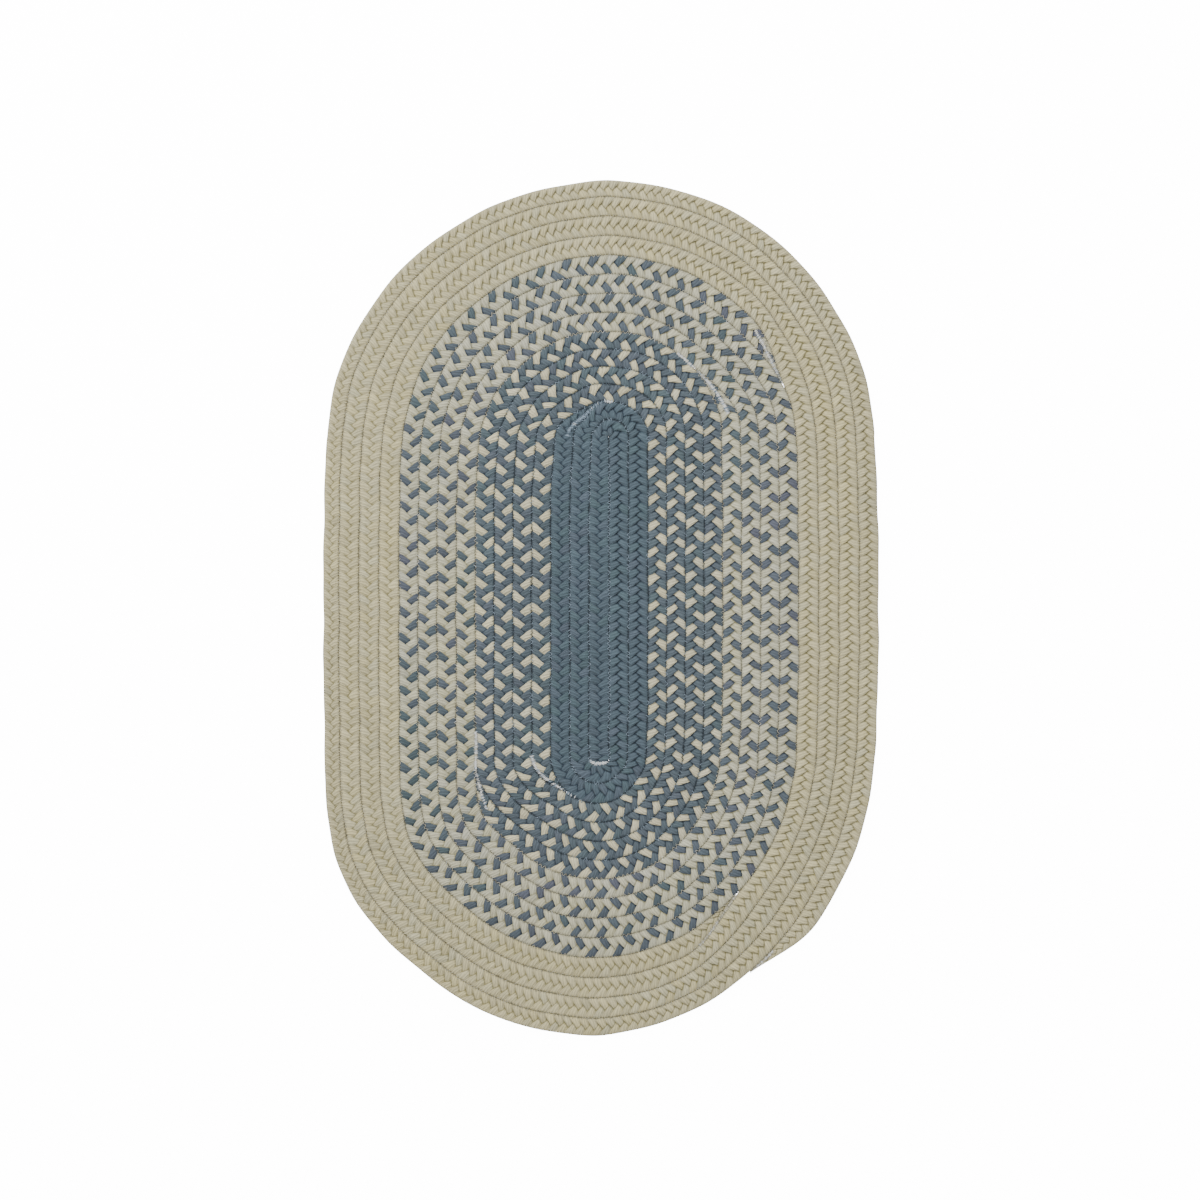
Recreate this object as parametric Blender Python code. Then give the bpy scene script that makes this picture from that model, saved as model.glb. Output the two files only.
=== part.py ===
"""An oval braided rug, lying flat: four braids, each wound clockwise round the one before.

The rug is a straight middle with a half turn at each end. In the middle the braids lie in columns,
numbered outwards from column 0 on the left and on the right. At the ends they go round in rows,
stacked outwards from the turn's centre. A row joins one left column to one right column, so the two
lists of rows are the whole winding. A row with a column on one side only is where a braid starts or
ends: it narrows to nothing between its neighbours. Metres, +Z up, +Y along the rug, origin on the
floor under the middle of its outline.
"""

import bpy
import numpy as np

STRAIGHT = 0.344  # from one turn's centre to the other's
THICKNESS = 0.0092
HALF_START = 0.0108  # half of column 0, where the winding starts
START_REACH = 0.0054  # how far column 0's blunt end passes the lower turn's centre
START_TURN = 72  # degrees of that end's quarter oval, before it is cut flat
EYE = 0.002  # the small hole that the first turn is bent round
GAP = 0.0003  # between braids that lie side by side
LEAST_WIDTH = 0.003  # a narrowing end stops here
SHOULDER = 0.78  # how much of a braid's width its flat top takes up
FOOT = 0.88  # how much of it its flat underside takes up
END_THICKNESS = 0.6  # how thick a narrowed end still is, as a share
SPREAD = 9  # degrees by which each row further out eases the step that a starting or ending braid makes
COLUMN_KNEE = 0.72  # where a column bends, as a share of its way from the middle to the turn
CAP_STEPS = 3

# Degrees round each turn at which the steps change, and how many steps lie between: finer where a
# braid ends.
TURN_STEPS = {
    "top": ((0, 90, 9), (90, 135, 5), (135, 180, 8)),
    "bottom": ((0, 45, 8), (45, 110, 7), (110, 150, 9), (150, 180, 3)),
}

# How wide a braid lies in each zone, where it runs along a side and where it goes round an end.
ZONES = {
    "centre": {"columns": (0, 1, 2), "left": 0.0205, "right": 0.0208, "top": 0.0188, "bottom": 0.0213},
    "inner": {"columns": (3, 4, 5, 6), "left": 0.02015, "right": 0.0200, "top": 0.01885, "bottom": 0.0202},
    "outer": {"columns": (7, 8, 9, 10), "left": 0.0204, "right": 0.0203, "top": 0.0203, "bottom": 0.0209},
    "border": {"columns": (11, 12, 13), "left": 0.0214, "right": 0.0216, "top": 0.02075, "bottom": 0.0215},
    "edge": {"columns": (14,), "left": 0.0169, "right": 0.0210, "top": 0.0180, "bottom": 0.0192},
}

# Rows from the turn's centre outwards: left column, right column, and the degrees, counted from the
# left side, between which a braid that starts or ends there narrows to nothing.
ROWS = {
    "top": (
        (0, 1, None),
        (1, 2, None),
        (2, None, (0, 95)),
        (3, 3, None),
        (4, 4, None),
        (5, 5, None),
        (6, 6, None),
        (None, 7, (137, 176)),
        (7, 8, None),
        (8, 9, None),
        (9, 10, None),
        (10, None, (140, 166)),
        (11, 11, None),
        (12, 12, None),
        (13, 13, None),
        (14, 14, None),
    ),
    "bottom": (
        (1, 1, None),
        (2, 2, None),
        (3, None, (0, 52)),
        (4, 3, None),
        (5, 4, None),
        (6, 5, None),
        (None, 6, (0, 34)),
        (7, 7, None),
        (8, 8, None),
        (9, 9, None),
        (10, 10, None),
        (11, None, (112, 138)),
        (12, 11, None),
        (13, 12, None),
        (14, 13, None),
        (None, 14, (122, 144)),
    ),
}

# How far a turn's outline falls inside a true oval, as a share of its reach: where it leaves the
# straight side, and midway round to the rug's end.
SLACK = {
    ("top", "left"): (0.013, 0.018),
    ("top", "right"): (0.017, 0.007),
    ("bottom", "left"): (0.006, -0.009),
    ("bottom", "right"): (0.015, 0.020),
}

# Where the first rows were wound tighter: how much further in they lie there at most, the distance over which
# that grows from the start of the winding, and how much of it is left where the turn meets the straight side.
TIGHT = {("top", "left"): 0.0145, ("bottom", "right"): 0.0065}
TIGHT_GROWTH = 0.035
TIGHT_SIDE = 0.5
TIGHT_RUN = 0.032  # how far round the turn the rest comes in

# Each braid by the row or column that it starts with, and its colour.
BRAIDS = {
    "braid_centre": {"start": ("column", 0), "colour": (0.117, 0.175, 0.216)},
    "braid_inner_band": {"start": ("bottom", (3, None)), "colour": (0.175, 0.222, 0.250)},
    "braid_outer_band": {"start": ("top", (None, 7)), "colour": (0.420, 0.400, 0.320)},
    "braid_border": {"start": ("bottom", (11, None)), "colour": (0.533, 0.479, 0.352)},
}


def zone_of(column):
    return next(zone for zone in ZONES.values() if column in zone["columns"])


def column_width(side, column):
    return 2 * HALF_START if column == 0 else zone_of(column)[side]


def column_edge(side, column):
    """How far a column's outer edge lies from the middle of column 0."""
    return HALF_START + sum(zone_of(j)[side] for j in range(1, column + 1))


def reach(end, rows):
    """How far the given number of rows reaches beyond the turn's centre, at the rug's end."""
    return turn_radius(end, rows, np.array([np.pi / 2]))[0]


def smooth(share):
    """0 to 1 along a smooth S, held beyond its ends."""
    share = np.clip(share, 0, 1)
    return share * share * (3 - 2 * share)


def fade(angle, span, eased):
    """0 to 1 along a smooth S between two angles, which are moved apart by the eased degrees as far as
    the turn leaves room."""
    eased = min(eased, span[0], 180 - span[1])
    low, high = np.radians([span[0] - eased, span[1] + eased])
    return smooth((angle - low) / (high - low))


def row_width(end, row, angle, eased=0):
    """A row's width round its turn: its columns' widths at the sides and its end width between them,
    mixed by the squares of cosine and sine. A row with one column narrows to nothing towards the
    other side."""
    left, right, span = row
    widest = max(column for column in (left, right) if column is not None)
    left_wide = column_width("left", right if left is None else left)
    right_wide = column_width("right", left if right is None else right)
    across = np.where(angle < np.pi / 2, left_wide, right_wide)
    width = across * np.cos(angle) ** 2 + zone_of(widest)[end] * np.sin(angle) ** 2
    if span is None:
        return width
    rising = fade(angle, span, eased)
    return width * (rising if left is None else 1 - rising)


def slack(end, angle, share):
    """The factor that draws a turn in: bow times cosine squared plus fall times the sine of twice the
    angle, both in proportion to how far out the row lies."""
    left = angle < np.pi / 2
    bow = np.where(left, SLACK[end, "left"][0], SLACK[end, "right"][0])
    fall = np.where(left, SLACK[end, "left"][1], SLACK[end, "right"][1])
    return 1 - share * (bow * np.cos(angle) ** 2 + fall * np.abs(np.sin(2 * angle)))


def drawn_in(end, side, reach):
    """How much further in a row lies where the first rows are tight. It fades out towards the rug's edge."""
    deep = np.maximum(reach - (HALF_START if end == "bottom" else 0), 0)
    fading = np.clip(1 - reach / column_edge("right", 14), 0, 1)
    return TIGHT.get((end, side), 0) * (1 - np.exp(-deep / TIGHT_GROWTH)) * fading


def turn_drawn_in(end, angle, radius):
    """The same round a turn. It goes out again between 35 and 80 degrees."""
    left = angle < np.pi / 2
    turned = np.where(left, angle, np.pi - angle)
    most = np.where(left, drawn_in(end, "left", radius), drawn_in(end, "right", radius))
    part = TIGHT_SIDE + (1 - TIGHT_SIDE) * smooth(turned * radius / TIGHT_RUN)
    return most * part * (1 - smooth((np.degrees(turned) - 35) / 45))


def turn_radius(end, rows, angle):
    """The outer edge of the given number of rows, measured from the turn's centre."""
    if end == "top":
        core = EYE * np.sin(angle)
    else:
        core = 1 / np.hypot(np.cos(angle) / HALF_START, np.sin(angle) / START_REACH)
    inside = enumerate(ROWS[end][:rows])
    radius = core + sum(row_width(end, row, angle, SPREAD * (rows - 1 - n)) for n, row in inside)
    radius = radius * slack(end, angle, radius / column_edge("right", 14))
    return radius - turn_drawn_in(end, angle, radius)


def turn_points(end, rows, angle):
    """Points of that edge. The upper turn is centred on column 0's right edge, the lower one on its
    middle."""
    radius = turn_radius(end, rows, angle)
    if end == "top":
        middle = np.array([HALF_START, STRAIGHT / 2])
        up = 1
    else:
        middle = np.array([0, -STRAIGHT / 2])
        up = -1
    return middle + np.stack([-radius * np.cos(angle), up * radius * np.sin(angle)], axis=1)


def column_points(side, edge, heights):
    """Points up a column's edge. It bows in towards the ends by the cube of the height, to meet the turn,
    and leans in by its fifth power where the turn's first rows are tight."""
    out = 1 if side == "right" else -1
    end_share = np.abs(heights) / (STRAIGHT / 2)
    bows = np.where(heights > 0, SLACK["top", side][0], SLACK["bottom", side][0])
    bow = bows * end_share**3 * edge / column_edge(side, 14)
    above = drawn_in("top", side, edge - out * HALF_START)
    below = drawn_in("bottom", side, edge)
    lean = TIGHT_SIDE * np.where(heights > 0, above, below) * end_share**5
    return np.stack([out * (edge * (1 - bow) - lean), heights], axis=1)


def column_strip(side, column):
    """Both edges of a column, from its lower end to its upper end."""
    heights = STRAIGHT / 2 * np.array([-1, -COLUMN_KNEE, 0, COLUMN_KNEE, 1])
    if column == 0:
        return column_points("right", HALF_START, heights), column_points("left", HALF_START, heights)
    inner = column_points(side, column_edge(side, column - 1), heights)
    return inner, column_points(side, column_edge(side, column), heights)


def row_strip(end, number):
    """Both edges of a row, from left to right."""
    steps = [np.linspace(low, high, count, endpoint=False) for low, high, count in TURN_STEPS[end]]
    angles = np.radians(np.append(np.concatenate(steps), 180))
    return turn_points(end, number, angles), turn_points(end, number + 1, angles)


def start_strip():
    """The blunt end of column 0: half an oval below the lower turn's centre."""
    depth = np.sin(np.radians(np.linspace(START_TURN, 0, CAP_STEPS + 1)))
    half = HALF_START * np.sqrt(1 - depth**2)
    heights = -STRAIGHT / 2 - START_REACH * depth
    return np.stack([half, heights], axis=1), np.stack([-half, heights], axis=1)


def find_row(end, side, column):
    """The row that a column runs into."""
    place = 0 if side == "left" else 1
    return next(number for number, row in enumerate(ROWS[end]) if row[place] == column)


def winding(start):
    """The strips that a braid runs through, clockwise: up a left column, over the top, down a right
    column, round the bottom, and so on until a row has no column on the other side."""
    strips = []
    if start[0] == "column":
        strips.append(start_strip())
        side, column = "left", start[1]
    else:
        end, columns = start
        number = next(n for n, row in enumerate(ROWS[end]) if row[:2] == columns)
        strip = row_strip(end, number)
        strips.append(strip if end == "top" else tuple(edge[::-1] for edge in strip))
        side, column = ("right", columns[1]) if end == "top" else ("left", columns[0])
    while column is not None:
        strip = column_strip(side, column)
        strips.append(strip if side == "left" else tuple(edge[::-1] for edge in strip))
        end = "top" if side == "left" else "bottom"
        number = find_row(end, side, column)
        strip = row_strip(end, number)
        strips.append(strip if end == "top" else tuple(edge[::-1] for edge in strip))
        side = "right" if end == "top" else "left"
        column = ROWS[end][number][1 if end == "top" else 0]
    return strips


def edges_of(start):
    """A braid's two edges as arrays of points. Strips share their end points, and a narrowed tip is
    cut off."""
    strips = winding(start)
    inner = np.concatenate([strip[0][:-1] for strip in strips[:-1]] + [strips[-1][0]])
    outer = np.concatenate([strip[1][:-1] for strip in strips[:-1]] + [strips[-1][1]])
    width = np.linalg.norm(outer - inner, axis=1)
    kept = width > LEAST_WIDTH
    return inner[kept], outer[kept], width[kept]


def section_points(inner, outer, width):
    """Six points round each section of a braid: a flat underside, a flat top, and sides that come to
    an edge halfway up. A narrowed end is thinner."""
    centre = (inner + outer) / 2
    half = (outer - inner) / 2 * (1 - GAP / width)[:, None]
    full = np.clip(width / zone_of(1)["left"], 0, 1)
    height = THICKNESS * (END_THICKNESS + (1 - END_THICKNESS) * full)
    shape = (
        (-FOOT, 0.0),
        (FOOT, 0.0),
        (1.0, 0.5),
        (SHOULDER, 1.0),
        (-SHOULDER, 1.0),
        (-1.0, 0.5),
    )
    rings = [np.column_stack([centre + half * across, height * up]) for across, up in shape]
    return np.stack(rings, axis=1)


def rug_middle():
    """The middle of the rug's outline."""
    x = (column_edge("right", 14) - column_edge("left", 14)) / 2
    y = (reach("top", len(ROWS["top"])) - reach("bottom", len(ROWS["bottom"]))) / 2
    return np.array([x, y, 0.0])


def braid_mesh(name, start):
    """A closed tube through a braid's sections, with flat ends."""
    sections = section_points(*edges_of(start)) - rug_middle()
    count, corners = sections.shape[:2]
    index = np.arange(count * corners).reshape(count, corners)
    here, there = index[:-1], index[1:]
    walls = np.stack([here, np.roll(here, -1, 1), np.roll(there, -1, 1), there], axis=2)
    faces = walls.reshape(-1, 4).tolist()
    faces.append(index[0, ::-1].tolist())
    faces.append(index[-1].tolist())
    mesh = bpy.data.meshes.new(name)
    mesh.from_pydata(sections.reshape(-1, 3).tolist(), [], faces)
    mesh.update()
    return mesh


def fabric(name, colour):
    """Matt braided yarn."""
    material = bpy.data.materials.new(name)
    material.use_nodes = True
    shader = material.node_tree.nodes["Principled BSDF"]
    shader.inputs["Base Color"].default_value = (*colour, 1)
    shader.inputs["Roughness"].default_value = 0.9
    shader.inputs["Metallic"].default_value = 0
    material.diffuse_color = (*colour, 1)
    return material


def build():
    for old in list(bpy.data.objects):
        bpy.data.objects.remove(old, do_unlink=True)
    for name, braid in BRAIDS.items():
        piece = bpy.data.objects.new(name, braid_mesh(name, braid["start"]))
        piece.data.materials.append(fabric(name, braid["colour"]))
        bpy.context.scene.collection.objects.link(piece)


build()
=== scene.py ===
"""Looks of the oval braided rug: four plaits, each wound clockwise round the one before and sewn to it.

The winding is the CAD's, in finer steps: columns up and down the straight middle, numbered outwards, and
rows round each end, stacked outwards. Each plait is one closed skin of lobes. A lobe is the stretch of a
strand that shows between two crossings: it runs from the plait's side back to its middle, where it dips
under the lobe from the other side. Metres, +Z up, +Y along the rug.
"""

import bpy
import numpy as np
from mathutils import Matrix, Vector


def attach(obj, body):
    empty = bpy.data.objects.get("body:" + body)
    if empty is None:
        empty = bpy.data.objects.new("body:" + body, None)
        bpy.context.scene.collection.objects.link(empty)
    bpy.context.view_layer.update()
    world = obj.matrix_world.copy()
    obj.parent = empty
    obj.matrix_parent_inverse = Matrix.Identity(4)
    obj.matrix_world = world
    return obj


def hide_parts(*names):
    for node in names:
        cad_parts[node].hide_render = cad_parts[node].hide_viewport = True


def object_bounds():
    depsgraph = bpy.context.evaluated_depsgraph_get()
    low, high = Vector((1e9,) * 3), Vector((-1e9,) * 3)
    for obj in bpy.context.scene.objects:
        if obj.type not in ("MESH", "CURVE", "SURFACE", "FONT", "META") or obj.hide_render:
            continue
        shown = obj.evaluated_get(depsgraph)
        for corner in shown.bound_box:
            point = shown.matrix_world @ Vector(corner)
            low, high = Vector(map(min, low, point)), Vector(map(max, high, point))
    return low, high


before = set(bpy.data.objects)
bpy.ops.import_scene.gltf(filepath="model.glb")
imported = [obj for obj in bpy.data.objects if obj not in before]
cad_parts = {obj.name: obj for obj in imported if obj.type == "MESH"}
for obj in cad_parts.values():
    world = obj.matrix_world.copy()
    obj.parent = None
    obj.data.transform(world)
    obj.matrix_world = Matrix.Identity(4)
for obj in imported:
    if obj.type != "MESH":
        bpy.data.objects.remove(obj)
cad_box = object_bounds()

# ---------------------------------------------------------------- the winding, as the CAD has it

STRAIGHT = 0.344  # from one turn's centre to the other's
THICKNESS = cad_box[1].z - cad_box[0].z
HALF_START = 0.0108  # half of column 0, where the winding starts
START_REACH = 0.0054  # how far column 0's blunt end passes the lower turn's centre
START_TURN = 89  # degrees of that end's quarter oval, before it is cut flat
EYE = 0.0004  # the small hole that the first turn is bent round
PRESSED = 0.0001  # how far a plait's side is pressed into the next one's by the sewing
LEAST_WIDTH = 0.0007  # a narrowing end stops here
END_THICKNESS = 0.6  # how thick a narrowed end still is, as a share
SPREAD = 9  # degrees by which each row further out eases the step that a starting or ending plait makes
COLUMN_STEPS = 60
TURN_STEPS = 240
CAP_STEPS = 12

# How wide a plait lies in each zone, where it runs along a side and where it goes round an end.
ZONES = {
    "centre": {"columns": (0, 1, 2), "left": 0.0205, "right": 0.0208, "top": 0.0188, "bottom": 0.0213},
    "inner": {"columns": (3, 4, 5, 6), "left": 0.02015, "right": 0.0200, "top": 0.01885, "bottom": 0.0202},
    "outer": {"columns": (7, 8, 9, 10), "left": 0.0204, "right": 0.0203, "top": 0.0203, "bottom": 0.0209},
    "border": {"columns": (11, 12, 13), "left": 0.0214, "right": 0.0216, "top": 0.02075, "bottom": 0.0215},
    "edge": {"columns": (14,), "left": 0.0169, "right": 0.0210, "top": 0.0180, "bottom": 0.0192},
}

# Rows from the turn's centre outwards: left column, right column, and the degrees, counted from the left
# side, between which a plait that starts or ends there narrows to nothing.
ROWS = {
    "top": (
        (0, 1, None),
        (1, 2, None),
        (2, None, (0, 95)),
        (3, 3, None),
        (4, 4, None),
        (5, 5, None),
        (6, 6, None),
        (None, 7, (137, 176)),
        (7, 8, None),
        (8, 9, None),
        (9, 10, None),
        (10, None, (140, 166)),
        (11, 11, None),
        (12, 12, None),
        (13, 13, None),
        (14, 14, None),
    ),
    "bottom": (
        (1, 1, None),
        (2, 2, None),
        (3, None, (0, 52)),
        (4, 3, None),
        (5, 4, None),
        (6, 5, None),
        (None, 6, (0, 34)),
        (7, 7, None),
        (8, 8, None),
        (9, 9, None),
        (10, 10, None),
        (11, None, (112, 138)),
        (12, 11, None),
        (13, 12, None),
        (14, 13, None),
        (None, 14, (122, 144)),
    ),
}

# How far a turn's outline falls inside a true oval, as a share of its reach: where it leaves the straight
# side, and midway round to the rug's end.
SLACK = {
    ("top", "left"): (0.013, 0.018),
    ("top", "right"): (0.017, 0.007),
    ("bottom", "left"): (0.006, -0.009),
    ("bottom", "right"): (0.015, 0.020),
}

# Where the first rows were wound tighter: how much further in they lie there at most, the distance over which
# that grows from the start of the winding, and how much of it is left where the turn meets the straight side.
TIGHT = {("top", "left"): 0.0145, ("bottom", "right"): 0.0065}
TIGHT_GROWTH = 0.035
TIGHT_SIDE = 0.5
TIGHT_RUN = 0.032  # how far round the turn the rest comes in


def zone_of(column):
    return next(zone for zone in ZONES.values() if column in zone["columns"])


def column_width(side, column):
    return 2 * HALF_START if column == 0 else zone_of(column)[side]


def column_edge(side, column):
    """How far a column's outer edge lies from the middle of column 0."""
    return HALF_START + sum(zone_of(j)[side] for j in range(1, column + 1))


def smooth(share):
    """0 to 1 along a smooth S, held beyond its ends."""
    share = np.clip(share, 0, 1)
    return share * share * (3 - 2 * share)


def fade(angle, span, eased):
    """0 to 1 along a smooth S between two angles, which are moved apart by the eased degrees as far as
    the turn leaves room."""
    eased = min(eased, span[0], 180 - span[1])
    low, high = np.radians([span[0] - eased, span[1] + eased])
    return smooth((angle - low) / (high - low))


def row_width(end, row, angle, eased=0):
    """A row's width round its turn: its columns' widths at the sides and its end width between them, mixed
    by the squares of cosine and sine. A row with one column narrows to nothing towards the other side."""
    left, right, span = row
    widest = max(column for column in (left, right) if column is not None)
    left_wide = column_width("left", right if left is None else left)
    right_wide = column_width("right", left if right is None else right)
    across = np.where(angle < np.pi / 2, left_wide, right_wide)
    width = across * np.cos(angle) ** 2 + zone_of(widest)[end] * np.sin(angle) ** 2
    if span is None:
        return width
    rising = fade(angle, span, eased)
    return width * (rising if left is None else 1 - rising)


def slack(end, angle, share):
    """The factor that draws a turn in: bow times cosine squared plus fall times the sine of twice the
    angle, both in proportion to how far out the row lies."""
    left = angle < np.pi / 2
    bow = np.where(left, SLACK[end, "left"][0], SLACK[end, "right"][0])
    fall = np.where(left, SLACK[end, "left"][1], SLACK[end, "right"][1])
    return 1 - share * (bow * np.cos(angle) ** 2 + fall * np.abs(np.sin(2 * angle)))


def drawn_in(end, side, reach):
    """How much further in a row lies where the first rows are tight. It fades out towards the rug's edge."""
    deep = np.maximum(reach - (HALF_START if end == "bottom" else 0), 0)
    fading = np.clip(1 - reach / column_edge("right", 14), 0, 1)
    return TIGHT.get((end, side), 0) * (1 - np.exp(-deep / TIGHT_GROWTH)) * fading


def turn_drawn_in(end, angle, radius):
    """The same round a turn. It goes out again between 35 and 80 degrees."""
    left = angle < np.pi / 2
    turned = np.where(left, angle, np.pi - angle)
    most = np.where(left, drawn_in(end, "left", radius), drawn_in(end, "right", radius))
    part = TIGHT_SIDE + (1 - TIGHT_SIDE) * smooth(turned * radius / TIGHT_RUN)
    return most * part * (1 - smooth((np.degrees(turned) - 35) / 45))


def turn_radius(end, rows, angle):
    """The outer edge of the given number of rows, measured from the turn's centre."""
    if end == "top":
        core = EYE * np.sin(angle)
    else:
        core = 1 / np.hypot(np.cos(angle) / HALF_START, np.sin(angle) / START_REACH)
    inside = enumerate(ROWS[end][:rows])
    radius = core + sum(row_width(end, row, angle, SPREAD * (rows - 1 - n)) for n, row in inside)
    radius = radius * slack(end, angle, radius / column_edge("right", 14))
    return radius - turn_drawn_in(end, angle, radius)


def turn_points(end, rows, angle):
    """Points of that edge. The upper turn is centred on column 0's right edge, the lower one on its
    middle."""
    radius = turn_radius(end, rows, angle)
    if end == "top":
        middle = np.array([HALF_START, STRAIGHT / 2])
        up = 1
    else:
        middle = np.array([0, -STRAIGHT / 2])
        up = -1
    return middle + np.stack([-radius * np.cos(angle), up * radius * np.sin(angle)], axis=1)


def column_points(side, edge, heights):
    """Points up a column's edge. It bows in towards the ends by the cube of the height, to meet the turn,
    and leans in by its fifth power where the turn's first rows are tight."""
    out = 1 if side == "right" else -1
    end_share = np.abs(heights) / (STRAIGHT / 2)
    bows = np.where(heights > 0, SLACK["top", side][0], SLACK["bottom", side][0])
    bow = bows * end_share**3 * edge / column_edge(side, 14)
    above = drawn_in("top", side, edge - out * HALF_START)
    below = drawn_in("bottom", side, edge)
    lean = TIGHT_SIDE * np.where(heights > 0, above, below) * end_share**5
    return np.stack([out * (edge * (1 - bow) - lean), heights], axis=1)


def column_strip(side, column):
    """Both edges of a column, from its lower end to its upper end."""
    heights = np.linspace(-STRAIGHT / 2, STRAIGHT / 2, COLUMN_STEPS + 1)
    if column == 0:
        return column_points("right", HALF_START, heights), column_points("left", HALF_START, heights)
    inner = column_points(side, column_edge(side, column - 1), heights)
    return inner, column_points(side, column_edge(side, column), heights)


def row_strip(end, number):
    """Both edges of a row, from left to right."""
    angles = np.linspace(0, np.pi, TURN_STEPS + 1)
    return turn_points(end, number, angles), turn_points(end, number + 1, angles)


def start_strip():
    """The blunt end of column 0: half an oval below the lower turn's centre."""
    depth = np.sin(np.radians(np.linspace(START_TURN, 0, CAP_STEPS + 1)))
    half = HALF_START * np.sqrt(1 - depth**2)
    heights = -STRAIGHT / 2 - START_REACH * depth
    return np.stack([half, heights], axis=1), np.stack([-half, heights], axis=1)


def find_row(end, side, column):
    """The row that a column runs into."""
    place = 0 if side == "left" else 1
    return next(number for number, row in enumerate(ROWS[end]) if row[place] == column)


def winding(start):
    """The strips that a plait runs through, clockwise, each as its side, its column and its two edges: up a
    left column, over the top, down a right column, round the bottom, and so on until a row has no column on
    the other side. A turn's side and column are None."""
    strips = []
    if start[0] == "column":
        strips.append((None, None, *start_strip()))
        side, column = "left", start[1]
    else:
        end, columns = start
        number = next(n for n, row in enumerate(ROWS[end]) if row[:2] == columns)
        inner, outer = row_strip(end, number)
        forward = slice(None) if end == "top" else slice(None, None, -1)
        strips.append((None, None, inner[forward], outer[forward]))
        side, column = ("right", columns[1]) if end == "top" else ("left", columns[0])
    while column is not None:
        forward = slice(None) if side == "left" else slice(None, None, -1)
        inner, outer = column_strip(side, column)
        strips.append((side, column, inner[forward], outer[forward]))
        end = "top" if side == "left" else "bottom"
        number = find_row(end, side, column)
        inner, outer = row_strip(end, number)
        strips.append((None, None, inner[forward], outer[forward]))
        side = "right" if end == "top" else "left"
        column = ROWS[end][number][1 if end == "top" else 0]
    return strips


def rug_middle():
    """The middle of the rug's outline."""
    quarter = np.array([np.pi / 2])
    x = (column_edge("right", 14) - column_edge("left", 14)) / 2
    y = (turn_radius("top", 16, quarter)[0] - turn_radius("bottom", 16, quarter)[0]) / 2
    return np.array([x, y])


def lengths(points):
    """How far along a line each of its points lies."""
    steps = np.linalg.norm(np.diff(points, axis=0), axis=1)
    return np.concatenate([[0], np.cumsum(steps)])


class Route:
    """A plait's way: its inner and outer edge, how far along its middle each point lies, and where each of
    its columns crosses the rug's short middle line."""

    def __init__(self, start):
        strips = winding(start)
        inner = np.concatenate([strip[2][:-1] for strip in strips[:-1]] + [strips[-1][2]]) - rug_middle()
        outer = np.concatenate([strip[3][:-1] for strip in strips[:-1]] + [strips[-1][3]]) - rug_middle()
        # one unbroken stretch, from where the plait is wide enough to where it is too narrow again
        narrow = np.flatnonzero(np.linalg.norm(outer - inner, axis=1) < LEAST_WIDTH)
        half = len(inner) // 2
        kept = np.zeros(len(inner), bool)
        kept[narrow[narrow < half].max(initial=-1) + 1 : narrow[narrow > half].min(initial=len(inner))] = True
        columns = []
        for side, column, edge, _ in strips:
            columns += [(side, column)] * (len(edge) - 1)
        columns.append((None, None))
        self.inner, self.outer = inner[kept], outer[kept]
        middle = (self.inner + self.outer) / 2
        self.along = lengths(middle)
        self.length = float(self.along[-1])
        self.crossings = {}
        columns = [place for place, keep in zip(columns, kept) if keep]
        for place in dict.fromkeys(columns):
            if place[1] is not None:
                here = np.array([other == place for other in columns])
                up = 1 if place[0] == "left" else -1
                self.crossings[place] = np.interp(0, up * middle[here, 1], self.along[here])

    def mean_width(self):
        width = np.linalg.norm(self.outer - self.inner, axis=1)
        steps = np.diff(self.along)
        return float((steps * (width[1:] + width[:-1]) / 2).sum() / self.length)

    def edge(self, edge, at):
        return np.stack([np.interp(at, self.along, edge[:, axis]) for axis in (0, 1)], axis=-1)

    def points(self, at, across):
        """The point that far along the plait and across it, from -1 at its inner edge to 1 at its outer one.
        Also how wide the plait is there."""
        inner, outer = self.edge(self.inner, at), self.edge(self.outer, at)
        width = np.linalg.norm(outer - inner, axis=-1)
        share = 0.5 + 0.5 * across * (1 + 2 * PRESSED / width)
        return inner + (outer - inner) * share[..., None], width


SLOW_WAVER, QUICK_WAVER = 0.00035, 0.00025  # how far two waves move the turns to and fro


def settled(points):
    """Sewn turns waver a little: two sine waves each way, a slow one that bends and a quicker slanting one,
    move every piece that lies there by the same fraction of a millimetre."""
    x, y = points[..., 0], points[..., 1]
    dx = SLOW_WAVER * np.sin(61 * y + 2.2 * np.sin(17 * x)) + QUICK_WAVER * np.sin(113 * y - 29 * x + 1.3)
    dy = SLOW_WAVER * np.sin(57 * x + 1.7 * np.sin(19 * y)) + QUICK_WAVER * np.sin(97 * x + 31 * y + 0.4)
    moved = points.copy()
    moved[..., 0] += dx
    moved[..., 1] += dy
    return moved


# ---------------------------------------------------------------- the plait

HALF_WIDTH = 0.0101  # half a plait's usual width
PERIOD = 0.0281  # along the plait, from one lobe of a strand to its next on the same side
STEPS = 6  # stations to a lobe
ZIGZAG = 0.27  # how far a lobe's end passes the plait's middle, as a share of half its width
LAG = 0.0049  # how far a strand falls back between the plait's side and its middle
CENTRE_LAG = 0.0036  # how far the middle of a lobe is taken to lie behind its end at the side
PINCH = 0.5  # how much closer the stations lie at a crease than evenly
CREASE = 0.50  # how deep the creases between lobes are, as a share of half the thickness
KNOT = 0.42  # how much deeper it is where three lobes meet, down the middle
NIP = 0.06  # how far the creases cut into the plait's side, as a share of half its width
NIP_REACH = 0.3  # how far across that fades out, as the same share
NARROW_END = 0.03  # the strands run straight across at a plait's very ends, and lag this far on
UNEVEN_HEIGHT = 0.04  # how unevenly high the lobes are, as a share of half the thickness
UNEVEN_PLACE = 0.07  # how far the creases stray along the plait, in lobes
UNEVEN_ZIGZAG = 0.16  # how unevenly far the lobes' ends pass the middle, as a share of it

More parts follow.
